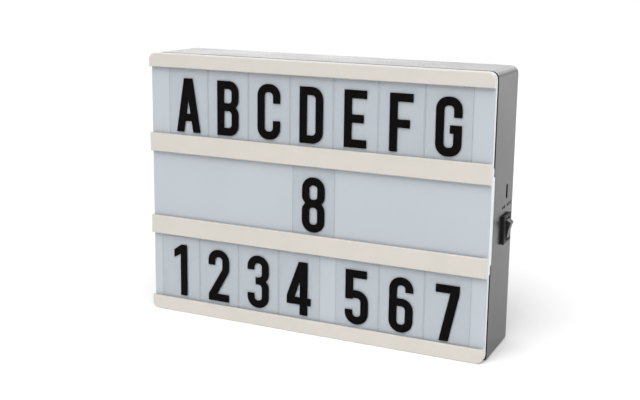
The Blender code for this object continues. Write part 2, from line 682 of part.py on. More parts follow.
def cell_z(number):
    """Height of a cell's axis, counted from the lowest."""
    return BAY_BASE + CELL_GAP + CELL_RADIUS + number * CELL_PITCH


def nub_side_of(number):
    """The side a cell's nub points to; neighbours lie end for end."""
    return -1 if number % 2 == 0 else 1


def battery_cells(surface):
    """Four cells side by side, turned end for end in alternation."""
    for number in range(CELL_COUNT):
        nub_side = nub_side_of(number)
        flat_end = -nub_side * (BAY_HALF - CONTACT_SPACE - LEAF_HEIGHT)
        shoulder = flat_end + nub_side * CELL_LENGTH
        profile = [(flat_end, CELL_RADIUS - CELL_EDGE), (flat_end + nub_side * CELL_EDGE, CELL_RADIUS),
                   (shoulder - nub_side * CELL_EDGE, CELL_RADIUS), (shoulder, CELL_RADIUS - CELL_EDGE),
                   (shoulder, CELL_NUB_RADIUS), (shoulder + nub_side * CELL_NUB_LENGTH, CELL_NUB_RADIUS)]
        turned("battery_cell_%d" % (number + 1), profile, "X", surface, (0, CELL_Y, cell_z(number)))


def contact_plate(name, side, low, high, surface):
    """A plate at one end of the bay across cells low to high, with a sprung leaf at each flat end."""
    outer_x = BAY_HALF - SEAT_GAP
    inner_x = outer_x - CONTACT_THICKNESS
    z_range = (cell_z(low) - CELL_RADIUS + CONTACT_MARGIN, cell_z(high) + CELL_RADIUS - CONTACT_MARGIN)
    plate = box(name, sorted((side * inner_x, side * outer_x)),
                around(CELL_Y, 2 * (CELL_RADIUS - CONTACT_MARGIN)), z_range, surface)
    for number in range(low, high + 1):
        if nub_side_of(number) == side:
            continue
        z = cell_z(number)
        root_x = inner_x + CONTACT_THICKNESS / 2
        crest_x = inner_x - LEAF_HEIGHT
        outline = [(root_x, z - LEAF_LENGTH / 2), (crest_x, z - LEAF_LENGTH / 8),
                   (crest_x, z + LEAF_LENGTH / 8), (root_x, z + LEAF_LENGTH / 2)]
        bm = bmesh.new()
        loft(bm, [[(side * x, y, pz) for x, pz in outline] for y in around(CELL_Y, LEAF_WIDTH)])
        combine(plate, "UNION", finish(bm, "%s_leaf_%d" % (name, number), surface))


def contacts(surface):
    """The contacts that string the cells together."""
    last = CELL_COUNT - 1
    contact_plate("contact_negative", 1, 0, 0, surface)
    for number in range(last):
        contact_plate("contact_bridge_%d" % (number + 1), nub_side_of(number), number, number + 1, surface)
    contact_plate("contact_positive", 1, last, last, surface)


def battery_door(surface):
    """A flush door that swings on two hooks under its lower edge; its origin is on that edge."""
    pivot = Vector((0, REAR_Y, DOOR_LOW_Z))
    inner = -DOOR_WALL
    height = DOOR_HIGH_Z - DOOR_LOW_Z
    sections = [(inner, 0), (-DOOR_EDGE_RADIUS, 0), (0, DOOR_EDGE_RADIUS)]
    door = stack_y("battery_door", 2 * DOOR_HALF, height, DOOR_CORNER_RADIUS, sections,
                   centre=(0, height / 2), surface=surface, location=pivot)
    toe_rear = LEDGE_Y - LEDGE_WALL - 2 * SEAT_GAP - REAR_Y
    toe_front = toe_rear - HOOK_WALL
    arm_low = DOOR_OVERLAP + SEAT_GAP
    for number, side in enumerate((-1, 1)):
        outline = [(inner + DOOR_WALL / 2, arm_low), (inner + DOOR_WALL / 2, arm_low + HOOK_DROP),
                   (toe_front, arm_low + HOOK_DROP), (toe_front, arm_low - HOOK_TOE),
                   (toe_rear, arm_low - HOOK_TOE), (toe_rear, arm_low)]
        bm = bmesh.new()
        loft(bm, [[(x, y, z) for y, z in outline] for x in around(side * HOOK_SIDE, HOOK_WIDTH)])
        combine(door, "UNION", finish(bm, "door_hook_%d" % number, surface, pivot))
    ribs = bmesh.new()
    for number in range(THUMB_RIB_COUNT):
        z = height - THUMB_RIB_FROM_TOP - number * THUMB_RIB_PITCH
        add_box(ribs, around(0, THUMB_RIB_WIDTH), (-THUMB_RIB_DEPTH, CUT_OVERRUN),
                around(z, THUMB_RIB_HEIGHT))
    combine(door, "DIFFERENCE", finish(ribs, "door_thumb_grooves", surface, pivot))


# Light parts

def reflector_sheet(surface):
    """White sheet behind the strips, cut away at the corner bosses, the switch and the wire hole."""
    inset = HOUSING_WALL + REFLECTOR_MARGIN
    sheet = box("reflector_sheet", around(0, BOX_WIDTH - 2 * inset),
                (REFLECTOR_Y, REFLECTOR_Y + REFLECTOR_WALL), around(MIDDLE_Z, BOX_HEIGHT - 2 * inset), surface)
    notches = bmesh.new()
    through = (REFLECTOR_Y - CUT_OVERRUN, REFLECTOR_Y + REFLECTOR_WALL + CUT_OVERRUN)
    for side in (-1, 1):
        x_range = sorted((side * (RIGHT_X - REFLECTOR_NOTCH), side * RIGHT_X))
        for z_range in ((0, REFLECTOR_NOTCH), (BOX_HEIGHT - REFLECTOR_NOTCH, BOX_HEIGHT)):
            add_box(notches, x_range, through, z_range)
    add_box(notches, (SWITCH_TAIL_X - REFLECTOR_CLEARANCE, RIGHT_X), through,
            around(SWITCH_HEIGHT, SWITCH_BODY_TALL + 2 * REFLECTOR_CLEARANCE))
    hole = turned("reflector_wire_hole", [(y, WIRE_HOLE_RADIUS) for y in through], "Y",
                  location=(STRIP_HALF + WIRE_SWING, 0, strip_z(1)))
    combine(sheet, "DIFFERENCE", finish(notches, "reflector_notches", surface), hole)


def strip_z(number):
    """Height of an LED strip's centre line: the middle of its window."""
    window_z = (BOTTOM_WINDOW_Z, MIDDLE_WINDOW_Z, TOP_WINDOW_Z)[number]
    return window_z + WINDOW_HEIGHT / 2


def led_strips(surface):
    """Three strips, one behind each window, with the LEDs standing on their front."""
    for number in range(WINDOW_COUNT):
        z = strip_z(number)
        strip = box("led_strip_%d" % (number + 1), around(0, STRIP_LENGTH), (STRIP_Y, STRIP_Y + STRIP_WALL),
                    around(z, STRIP_HEIGHT), surface)
        packages = bmesh.new()
        for index in range(LED_COUNT):
            x = (index - (LED_COUNT - 1) / 2) * LED_PITCH
            add_box(packages, around(x, LED_SIZE), (STRIP_Y - LED_HEIGHT, STRIP_Y + LED_SINK),
                    around(z, LED_SIZE))
        combine(strip, "UNION", finish(packages, "strip_packages_%d" % number, surface))


# Electronics

def control_board(surface):
    """The board behind the socket, with two chips on its front and holes for its screws."""
    board = box("control_board", (BOARD_LEFT_X, BOARD_RIGHT_X), (BOARD_Y, BOARD_REAR_Y),
                around(SOCKET_HEIGHT, BOARD_HEIGHT), surface)
    chips = bmesh.new()
    chip_x = BOARD_LEFT_X + BOARD_LENGTH / 3
    add_box(chips, around(chip_x, CHIP_SIZE), (BOARD_Y - CHIP_HEIGHT, BOARD_Y + BOARD_WALL / 2),
            around(SOCKET_HEIGHT, CHIP_SIZE))
    combine(board, "UNION", finish(chips, "board_chip", surface))
    holes = bmesh.new()
    through = (BOARD_Y - CUT_OVERRUN, BOARD_REAR_Y + CUT_OVERRUN)
    for x, z in board_screw_places():
        add_turned(holes, [(y, BOARD_SCREW_RADIUS + SEAT_GAP) for y in through], "Y", (x, 0, z))
    combine(board, "DIFFERENCE", finish(holes, "board_holes", surface))


def charging_socket(surface):
    """The socket's metal shell behind the slot, open towards the wall, with its contact blade."""
    mouth_x = WALL_INNER_X - SEAT_GAP
    shell = box("charging_socket", (mouth_x - SOCKET_LENGTH, mouth_x), around(SOCKET_Y, SOCKET_WIDTH),
                around(SOCKET_HEIGHT, SOCKET_TALL), surface)
    hollow = box("socket_hollow", (mouth_x - SOCKET_LENGTH + SOCKET_WALL, mouth_x + CUT_OVERRUN),
                 around(SOCKET_Y, SOCKET_WIDTH - 2 * SOCKET_WALL),
                 around(SOCKET_HEIGHT, SOCKET_TALL - 2 * SOCKET_WALL))
    combine(shell, "DIFFERENCE", hollow)
    blade = box("socket_blade", (mouth_x - SOCKET_LENGTH + SOCKET_WALL / 2, mouth_x - SOCKET_WIDTH / 2),
                around(SOCKET_Y, SOCKET_WALL), around(SOCKET_HEIGHT, SOCKET_TALL / 2), surface)
    combine(shell, "UNION", blade)


def switch_body(surface):
    """Bezel and body in one, hollow for the rocker, with a pivot hole through each side wall."""
    bevel_x = BEZEL_FACE_X - BEZEL_EDGE
    rings = []
    for x, inset in ((BEZEL_X, 0), (bevel_x, 0), (BEZEL_FACE_X, BEZEL_EDGE)):
        wide = BEZEL_WIDTH / 2 - inset
        tall = BEZEL_TALL / 2 - inset
        rings.append([(x, SWITCH_Y + u * wide, SWITCH_HEIGHT + v * tall)
                      for u, v in ((-1, -1), (1, -1), (1, 1), (-1, 1))])
    bm = bmesh.new()
    loft(bm, rings)
    body = finish(bm, "switch_body", surface)
    barrel = box("switch_barrel", (SWITCH_TAIL_X, BEZEL_X + BEZEL_WALL / 2),
                 around(SWITCH_Y, SWITCH_BODY_WIDTH), around(SWITCH_HEIGHT, SWITCH_BODY_TALL), surface)
    combine(body, "UNION", barrel)
    well = box("switch_well", (SWITCH_TAIL_X + SWITCH_FLOOR, BEZEL_FACE_X + CUT_OVERRUN),
               around(SWITCH_Y, ROCKER_WIDTH + 2 * ROCKER_SIDE_GAP),
               around(SWITCH_HEIGHT, SWITCH_BODY_TALL - 2 * SWITCH_WALL))
    pin_reach = SWITCH_BODY_WIDTH / 2 + CUT_OVERRUN
    pivots = turned("switch_pivot_holes", [(-pin_reach, PIVOT_PIN_RADIUS + SEAT_GAP),
                                           (pin_reach, PIVOT_PIN_RADIUS + SEAT_GAP)],
                    "Y", location=(PIVOT_X, SWITCH_Y, SWITCH_HEIGHT))
    combine(body, "DIFFERENCE", well, pivots)


def switch_rocker(surface):
    """The rocker, tilted about its pivot so that its upper end stands out."""
    end_radius = math.hypot(ROCKER_CREST, ROCKER_HALF_TALL)
    end_angle = math.atan2(ROCKER_HALF_TALL, ROCKER_CREST)
    outline = [(ROCKER_CREST, -ROCKER_HALF_TALL), (ROCKER_VALLEY, 0), (ROCKER_CREST, ROCKER_HALF_TALL)]
    lower_angle = math.radians(180) - end_angle / 2
    for step in range(1, ARC_STEPS + 1):
        angle = end_angle + (math.radians(90) - end_angle) * step / ARC_STEPS
        outline.append((end_radius * math.cos(angle), end_radius * math.sin(angle)))
    outline.append((-ROCKER_STEM, ROCKER_STEM * math.sin(lower_angle)))
    outline.append((-ROCKER_STEM, -ROCKER_STEM * math.sin(lower_angle)))
    for step in range(ARC_STEPS, 0, -1):
        angle = end_angle + (math.radians(90) - end_angle) * step / ARC_STEPS
        outline.append((end_radius * math.cos(angle), -end_radius * math.sin(angle)))
    bm = bmesh.new()
    loft(bm, [[(x, y, z) for x, z in outline] for y in around(0, ROCKER_WIDTH)])
    pivot = (PIVOT_X, SWITCH_Y, SWITCH_HEIGHT)
    rocker = finish(bm, "switch_rocker", surface, pivot)
    pin_half = ROCKER_WIDTH / 2 + ROCKER_SIDE_GAP + PIVOT_PIN_SOCKET
    pins = turned("rocker_pins", [(-pin_half, PIVOT_PIN_RADIUS), (pin_half, PIVOT_PIN_RADIUS)],
                  "Y", surface, pivot)
    combine(rocker, "UNION", pins)
    for piece in (rocker, pins):
        piece.rotation_euler = (0, math.radians(ROCKER_TILT), 0)


def terminal_z(number):
    """Height of a switch terminal, the lower one first."""
    return SWITCH_HEIGHT + (-TERMINAL_SIDE, TERMINAL_SIDE)[number]


def switch_terminals(surface):
    """Two blades behind the switch body."""
    root_x = SWITCH_TAIL_X - SEAT_GAP
    for number in range(2):
        box("switch_terminal_%d" % (number + 1), (root_x - TERMINAL_LENGTH, root_x),
            around(SWITCH_Y, TERMINAL_WIDTH), around(terminal_z(number), TERMINAL_WALL), surface)


# Wires

def smooth_route(points):
    """Evenly spaced points of a smooth curve through the given ones."""
    knots = [Vector(point) for point in points]
    knots = [2 * knots[0] - knots[1], *knots, 2 * knots[-1] - knots[-2]]
    route = []
    for a, b, c, d in zip(knots, knots[1:], knots[2:], knots[3:]):
        steps = max(2, round((c - b).length / WIRE_STEP))
        for step in range(steps):
            t = step / steps
            route.append(0.5 * (2 * b + (c - a) * t + (2 * a - 5 * b + 4 * c - d) * t ** 2
                                + (3 * b - a - 3 * c + d) * t ** 3))
    route.append(knots[-2])
    return route


def wire(name, points, surface):
    """A round wire along a smooth route."""
    route = smooth_route(points)
    curve = bpy.data.curves.new(name, "CURVE")
    curve.dimensions = "3D"
    curve.bevel_depth = WIRE_RADIUS
    curve.bevel_resolution = WIRE_SIDES_LEVEL
    curve.use_fill_caps = True
    spline = curve.splines.new("POLY")
    spline.points.add(len(route) - 1)
    for point, place in zip(spline.points, route):
        point.co = (*place, 1)
    curve.materials.append(surface)
    made = bpy.data.objects.new(name, curve)
    bpy.context.collection.objects.link(made)


def wires(red, black, white):
    """The wires between the bay, the switch, the board and the strips."""
    clear_x = BAY_HALF + BAY_WALL + WIRE_SWING
    terminal_x = SWITCH_TAIL_X - TERMINAL_LENGTH - 2 * SEAT_GAP
    approach_x = BOARD_LEFT_X - WIRE_SWING
    lay_y = BAY_FRONT_Y + WIRE_LAY
    pad_x = BOARD_LEFT_X + PAD_REACH
    pad_y = BOARD_Y - SEAT_GAP - WIRE_RADIUS
    pass_y = SWITCH_Y - WIRE_SWING + 2 * WIRE_RADIUS
    high_pad_z = SOCKET_HEIGHT + PAD_SPREAD
    low_pad_z = SOCKET_HEIGHT - PAD_SPREAD
    positive_z = cell_z(CELL_COUNT - 1)
    negative_z = cell_z(0)
    wire("battery_wire_positive",
         [(BAY_HALF, CELL_Y, positive_z), (clear_x, CELL_Y, positive_z),
          ((clear_x + approach_x) / 2, CELL_Y, (positive_z + terminal_z(1)) / 2),
          (approach_x, SWITCH_Y, terminal_z(1)), (terminal_x, SWITCH_Y, terminal_z(1))], red)
    wire("battery_wire_negative",
         [(BAY_HALF, CELL_Y, negative_z), (clear_x, CELL_Y, negative_z),
          (clear_x + 2 * WIRE_SWING, lay_y, negative_z + 2 * WIRE_SWING),
          (clear_x + 2 * WIRE_SWING, lay_y, high_pad_z - 2 * WIRE_SWING),
          (clear_x + 4 * WIRE_SWING, lay_y, high_pad_z),
          (approach_x - WIRE_SWING, lay_y, high_pad_z), (pad_x, pad_y, high_pad_z)], black)
    wire("switch_wire",
         [(terminal_x, SWITCH_Y, terminal_z(0)), (approach_x, pass_y, terminal_z(0)),
          (approach_x, pass_y - WIRE_RADIUS, terminal_z(1)),
          (approach_x, SWITCH_Y, low_pad_z - WIRE_SWING), (pad_x, pad_y, low_pad_z)], red)
    hole_x = STRIP_HALF + WIRE_SWING
    strip_y = STRIP_Y + STRIP_WALL / 2
    end_x = STRIP_HALF + SEAT_GAP
    board_z = SOCKET_HEIGHT - BOARD_HEIGHT / 2
    wire("strip_feed_wire",
         [(hole_x, pad_y, board_z + WIRE_SWING), (hole_x, pad_y - WIRE_RADIUS, board_z + WIRE_RADIUS),
          (hole_x, lay_y, strip_z(1)), (hole_x, REFLECTOR_Y + WIRE_SWING, strip_z(1)),
          (hole_x, REFLECTOR_Y + WIRE_RADIUS, strip_z(1)),
          (hole_x - WIRE_RADIUS, strip_y, strip_z(1)), (end_x, strip_y, strip_z(1))], white)
    for name, low, high in (("strip_link_lower", 0, 1), ("strip_link_upper", 1, 2)):
        wire(name,
             [(-end_x, strip_y, strip_z(low) + STRIP_HEIGHT / 4),
              (-hole_x, strip_y, strip_z(low) + STRIP_HEIGHT / 4 + WIRE_SWING),
              (-hole_x, strip_y, strip_z(high) - STRIP_HEIGHT / 4 - WIRE_SWING),
              (-end_x, strip_y, strip_z(high) - STRIP_HEIGHT / 4)], white)


def build():
    """Clear the scene and model every piece."""
    for old in list(bpy.data.objects):
        bpy.data.objects.remove(old, do_unlink=True)
    grey = material("housing_grey", (0.20, 0.19, 0.19), 0.45)
    opal = material("opal_white", (0.70, 0.76, 0.84), 0.35)
    cream = material("rail_cream", (0.75, 0.71, 0.66), 0.40)
    clear = material("clear_film", (0.62, 0.68, 0.74), 0.20)
    steel = material("zinc_steel", (0.55, 0.55, 0.55), 0.35, 1.0)
    black = material("switch_black", (0.01, 0.01, 0.01), 0.35)
    paper = material("reflector_white", (0.85, 0.85, 0.85), 0.60)
    board = material("board_green", (0.03, 0.18, 0.08), 0.50)
    sleeve = material("cell_sleeve", (0.10, 0.12, 0.15), 0.35)
    red = material("wire_red", (0.50, 0.02, 0.02), 0.45)
    white = material("wire_white", (0.75, 0.75, 0.75), 0.45)
    rear_housing(grey)
    diffuser_tray(opal)
    rails(cream)
    letter_tiles(clear)
    reflector_sheet(paper)
    led_strips(paper)
    control_board(board)
    charging_socket(steel)
    switch_body(black)
    switch_rocker(black)
    switch_terminals(steel)
    battery_cells(sleeve)
    contacts(steel)
    battery_door(grey)
    housing_screws(steel)
    board_screws(steel)
    wires(red, black, white)


build()
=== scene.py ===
"""Looks of the letter light box: fine surfaces, materials, tile lettering, floor, light and camera.

Units are metres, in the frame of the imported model: the front faces -Y, +X is right and +Z is up.
"""
import math

import bmesh
import bpy
from mathutils import Matrix, Vector


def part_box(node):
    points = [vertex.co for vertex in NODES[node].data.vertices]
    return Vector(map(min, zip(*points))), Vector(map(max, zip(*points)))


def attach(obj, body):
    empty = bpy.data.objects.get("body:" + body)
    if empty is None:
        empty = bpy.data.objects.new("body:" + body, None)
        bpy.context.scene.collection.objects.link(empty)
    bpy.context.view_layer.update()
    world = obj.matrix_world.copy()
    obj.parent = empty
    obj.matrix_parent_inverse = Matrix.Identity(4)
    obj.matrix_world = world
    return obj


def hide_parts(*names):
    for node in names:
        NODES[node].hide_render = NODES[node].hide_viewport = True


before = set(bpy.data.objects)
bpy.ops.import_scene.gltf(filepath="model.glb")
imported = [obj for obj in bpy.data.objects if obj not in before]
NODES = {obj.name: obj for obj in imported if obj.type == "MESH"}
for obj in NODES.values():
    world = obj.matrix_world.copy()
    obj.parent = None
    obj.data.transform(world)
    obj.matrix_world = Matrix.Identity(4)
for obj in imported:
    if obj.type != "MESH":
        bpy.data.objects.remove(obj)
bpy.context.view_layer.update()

# Tiles: the clear sheet's edge band and rounded corners
TILE_BAND = 0.0004
TILE_CORNER = 0.0010
TILE_CORNER_STEPS = 4

# Ink on the tiles
INK_THICKNESS = 0.00003
INK_LIFT = 0.00001
GLYPH_HEIGHT = 0.0317
TOP_BASELINE = 0.1109
MIDDLE_BASELINE = 0.0602
BOTTOM_BASELINE = 0.0102
PRINTED_LOWER = {"letter_tile_bottom_6": 0.0003, "letter_tile_bottom_7": 0.0008}

# Print on the right wall above the switch
PRINT_HEIGHT = 0.0014
PRINT_THICKNESS = 0.00003
PRINT_STRETCH = 3.2
PRINT_GAP = 9.0
PRINT_WEIGHT = 0.00012
PRINT_BASE = 0.0801
PRINT_ON_CENTRE = 0.0050
PRINT_OFF_CENTRE = 0.0155

# The front's outline: its box, the radius of its corners and the width of the painted highlight along its edge
FRONT_LOW, FRONT_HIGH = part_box("diffuser_tray")
FRONT_CORNER = 0.0040
PAINTED_HIGHLIGHT_WIDTH = 0.0003

# Front faces of the LEDs, and the thin layer over which their colour runs out
LED_FACE_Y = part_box("led_strip_1")[0].y
LED_LAYER = 0.0001

# How far the cells' sleeves reach from the middle, and the step to the bare metal ends
SLEEVE_REACH = 0.0225
SLEEVE_STEP = 0.0001

# The hollow behind the charging slot, up to just under the wall's outer face, inside which shade is painted
SOCKET_LOW, SOCKET_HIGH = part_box("charging_socket")
SLOT_MARGIN = Vector((0, 0.002, 0.002))
SLOT_SKIN = 0.00005
SLOT_MOUTH = Vector((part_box("rear_housing")[1].x - SLOT_SKIN, SOCKET_HIGH.y, SOCKET_HIGH.z))

# Edge softening and smooth shading of the carried-over nodes
HOUSING_EDGE = 0.0004
DOOR_EDGE = 0.00015
TRAY_EDGE = 0.0002
RAIL_EDGE = 0.00012
BEZEL_EDGE = 0.0002
ROCKER_EDGE = 0.0003
EDGE_SEGMENTS = 2
EDGE_ANGLE = 50
SMOOTH_ANGLE = 40
FLAT_ANGLE = 0.5
WELD_REACH = 0.000002

# Light of the air all round, and of the pale backdrop low behind the box
AIR_LIGHT = 0.38
BACKDROP_LIGHT = 1.8
BACKDROP_SIDE = (-0.68, 0.73, 0)
BACKDROP_TURN = (0.3, 0.95)
BACKDROP_RISE = (0.1, 0.6)

# Overhead light: direction it comes from, spread in degrees and strength
OVERHEAD = ((0.0, -0.72, 1.0), 50, 2.5)

# Lamps: place, target, size and power
LAMPS = {
    "front_right_lamp": ((0.55, -0.45, 0.65), (0.06, 0, 0.07), (0.35, 0.35), 0.7),
    "right_lamp": ((0.75, 0.0, 0.45), (0.12, 0, 0.05), (0.4, 0.4), 0.5),
    "rear_softbox": ((0.25, 1.1, 0.55), (0.1, 0, 0.1), (0.75, 0.42), 1.3),
    "low_rear_lamp": ((0.6, 1.1, 0.15), (0.1, 0, 0.07), (0.4, 0.3), 0.35),
}

# Floor disc
FLOOR_RADIUS = 12.0
FLOOR_SIDES = 96

# Camera: lens and sensor in millimetres, angles in degrees
CAMERA_SENSOR = 36.0
CAMERA_LENS = 56.535
CAMERA_SHIFT = (-0.04675, -0.06132)
CAMERA_PLACE = (0.24244, -0.51691, 0.20571)
CAMERA_AZIMUTH = 23.724
CAMERA_ELEVATION = 10.702
CAMERA_ROLL = 1.060


# Glyph outlines on a grid of millimetres, 33 high. A point is (x, y), a point with a rounded
# corner is (x, y, radius), and an arc is (centre x, centre y, radius, start angle, end angle).
WAIST = ((9.3, 12.9, 5.5, 0, 53.13), (9.3, 21.7, 5.5, -53.13, 0))
GLYPHS = {
    "A": [[(0, 0), (5.3, 0), (6.4, 6.8), (10.6, 6.8), (11.7, 0), (17, 0), (11.6, 33), (5.4, 33)],
          [(7.2, 11.4), (9.8, 11.4), (8.5, 19.6)]],
    "B": [[(0, 0), (14.8, 0, 6.5), *WAIST, (14.8, 33, 6.5), (0, 33)],
          [(4.9, 4.8), (9.9, 4.8, 2.1), (9.9, 14.9, 2.1), (4.9, 14.9)],
          [(4.9, 19.7), (9.9, 19.7, 2.1), (9.9, 28.2, 2.1), (4.9, 28.2)]],
    "C": [[(15.2, 21.6), (15.2, 33, 7), (0, 33, 7), (0, 0, 7), (15.2, 0, 7), (15.2, 11.4), (10.3, 11.4),
           (10.3, 4.9, 2.3), (4.9, 4.9, 2.3), (4.9, 28.1, 2.3), (10.3, 28.1, 2.3), (10.3, 21.6)]],
    "D": [[(0, 0), (15.2, 0, 7), (15.2, 33, 7), (0, 33)],
          [(4.9, 4.8), (10.3, 4.8, 2.3), (10.3, 28.2, 2.3), (4.9, 28.2)]],
    "E": [[(0, 0), (14, 0), (14, 4.8), (4.9, 4.8), (4.9, 14.3), (12.3, 14.3), (12.3, 19.1), (4.9, 19.1),
           (4.9, 28.2), (14, 28.2), (14, 33), (0, 33)]],
    "F": [[(0, 0), (4.9, 0), (4.9, 13.6), (12.3, 13.6), (12.3, 18.4), (4.9, 18.4), (4.9, 28.2), (14, 28.2),
           (14, 33), (0, 33)]],
    "G": [[(15.2, 21.6), (15.2, 33, 7), (0, 33, 7), (0, 0, 7), (15.2, 0, 7), (15.2, 17.4), (8.2, 17.4),
           (8.2, 12.8), (10.3, 12.8), (10.3, 4.9, 2.3), (4.9, 4.9, 2.3), (4.9, 28.1, 2.3), (10.3, 28.1, 2.3),
           (10.3, 21.6)]],
    "N": [[(0, 0), (5, 0), (5, 18), (10, 0), (15, 0), (15, 33), (10, 33), (10, 15), (5, 33), (0, 33)]],
    "O": [[(0, 0, 7), (15.2, 0, 7), (15.2, 33, 7), (0, 33, 7)],
          [(4.9, 4.9, 2.3), (10.3, 4.9, 2.3), (10.3, 28.1, 2.3), (4.9, 28.1, 2.3)]],
    "1": [[(4.6, 0), (9.5, 0), (9.5, 33), (5.4, 33), (0, 29.4), (0, 24.2), (4.6, 26.9)]],
    "2": [[(0, 0), (14.6, 0), (14.6, 4.8), (6.3, 4.8), (14.8, 19.6, 7), (14.8, 33, 7.2), (0, 33, 7.2), (0, 23),
           (4.9, 23), (4.9, 28.2, 2.2), (9.9, 28.2, 2.2), (9.9, 20.8, 4.5), (0, 4.2)]],
    "3": [[(0, 9.2), (0, 0, 7.2), (14.8, 0, 7.2), *WAIST, (14.8, 33, 7.2), (0, 33, 7.2), (0, 23.8), (4.9, 23.8),
           (4.9, 28.2, 2.2), (9.9, 28.2, 2.2), (9.9, 19.4, 2.2), (5.6, 19.4), (5.6, 14.8), (9.9, 14.8, 2.2),
           (9.9, 4.8, 2.2), (4.9, 4.8, 2.2), (4.9, 9.2)]],
    "4": [[(8.7, 0), (13.9, 0), (13.9, 6.4), (16.2, 6.4), (16.2, 11), (13.9, 11), (13.9, 33), (7.9, 33),
           (0, 11.4), (0, 6.4), (8.7, 6.4)],
          [(5.4, 11), (8.7, 11), (8.7, 20.6)]],
    "5": [[(0, 8.8), (0, 0, 7.2), (14.8, 0, 7.2), (14.8, 20.8, 7), (5.2, 20.8), (5.2, 28.2), (13.8, 28.2),
           (13.8, 33), (0.2, 33), (0.2, 15.2), (5.2, 15.2), (5.2, 16), (9.9, 16, 2.2), (9.9, 4.8, 2.2),
           (4.9, 4.8, 2.2), (4.9, 8.8)]],
    "6": [[(0, 0, 7.2), (14.8, 0, 7.2), (14.8, 20.4, 6.8), (4.9, 20.4), (4.9, 28.2, 2.2), (9.9, 28.2, 2.2),
           (9.9, 24.2), (14.8, 24.2), (14.8, 33, 7.2), (0, 33, 7.2)],
          [(4.9, 4.8, 2.2), (9.9, 4.8, 2.2), (9.9, 15.7, 2.2), (4.9, 15.7)]],
    "7": [[(2.6, 0), (8.2, 0), (14.2, 28.4), (14.2, 33), (0, 33), (0, 28.2), (8.6, 28.2)]],
    "8": [[(0, 0, 7), (14.8, 0, 7), *WAIST, (14.8, 33, 7), (0, 33, 7),
           (5.5, 21.7, 5.5, 180, 233.13), (5.5, 12.9, 5.5, 126.87, 180)],
          [(4.9, 4.8, 2.1), (9.9, 4.8, 2.1), (9.9, 14.9, 2.1), (4.9, 14.9, 2.1)],
          [(4.9, 19.7, 2.1), (9.9, 19.7, 2.1), (9.9, 28.2, 2.1), (4.9, 28.2, 2.1)]],
}
GRID_HEIGHT = 33
TURN_STEPS = 8


# Materials

def number_step(tree, operation, *fields):
    """A number field worked out from one or two others."""
    node = tree.nodes.new("ShaderNodeMath")
    node.operation = operation
    for socket, field in zip(node.inputs, fields):
        tree.links.new(field, socket)
    return node.outputs[0]


def vector_steps(tree, place, *steps):
    """A place after a chain of steps, each an operation and its second value or None."""
    for operation, value in steps:
        node = tree.nodes.new("ShaderNodeVectorMath")
        node.operation = operation
        tree.links.new(place, node.inputs[0])
        if value is not None:
            node.inputs[1].default_value = value
        place = node.outputs["Value" if operation in ("LENGTH", "DOT_PRODUCT") else "Vector"]
    return place


def noise_field(tree, coords, size, detail=3.0):
    """A noise whose blotches are about the given size in metres."""
    node = tree.nodes.new("ShaderNodeTexNoise")
    node.inputs["Scale"].default_value = 1 / size
    node.inputs["Detail"].default_value = detail
    tree.links.new(coords, node.inputs["Vector"])
    return node.outputs["Fac"]


def spread(tree, field, low, high, start=0.3, end=0.7):
    """A number field stretched from start and end to low and high."""
    node = tree.nodes.new("ShaderNodeMapRange")
    node.inputs["From Min"].default_value = start
    node.inputs["From Max"].default_value = end
    node.inputs["To Min"].default_value = low
    node.inputs["To Max"].default_value = high
    tree.links.new(field, node.inputs["Value"])
    return node.outputs["Result"]


def blended(tree, field, first, second):
    """A colour that runs from first to second with the field; either may be a colour or a socket."""
    node = tree.nodes.new("ShaderNodeMix")
    node.data_type = "RGBA"
    tree.links.new(field, node.inputs["Factor"])
    for socket, colour in (("A", first), ("B", second)):
        target = [i for i in node.inputs if i.name == socket and i.type == "RGBA"][0]
        if isinstance(colour, tuple):
            target.default_value = (*colour, 1)
        else:
            tree.links.new(colour, target)
    return [o for o in node.outputs if o.type == "RGBA"][0]


def rim_place(tree, place):
    """How far a place lies outwards from the centres of the front's rounded corners."""
    middle = (FRONT_LOW + FRONT_HIGH) / 2
    straight = FRONT_HIGH - middle - Vector((FRONT_CORNER, 0, FRONT_CORNER))
    return vector_steps(tree, place, ("SUBTRACT", middle), ("ABSOLUTE", None), ("SUBTRACT", straight),
                        ("MAXIMUM", (0, 0, 0)), ("MULTIPLY", (1, 0, 1)), ("LENGTH", None))


def reaching(tree, coords, axis, start, end, both_ways=False):
    """A field that rises from 0 at start to 1 at end along an axis, or both ways from the middle.

    Along RIM it rises towards the front's outline.
    """
    if axis == "RIM":
        return spread(tree, rim_place(tree, coords), 0, 1, start, end)
    parts = tree.nodes.new("ShaderNodeSeparateXYZ")
    tree.links.new(coords, parts.inputs[0])
    place = parts.outputs[axis]
    if both_ways:
        place = number_step(tree, "ABSOLUTE", place)
    return spread(tree, place, 0, 1, start, end)


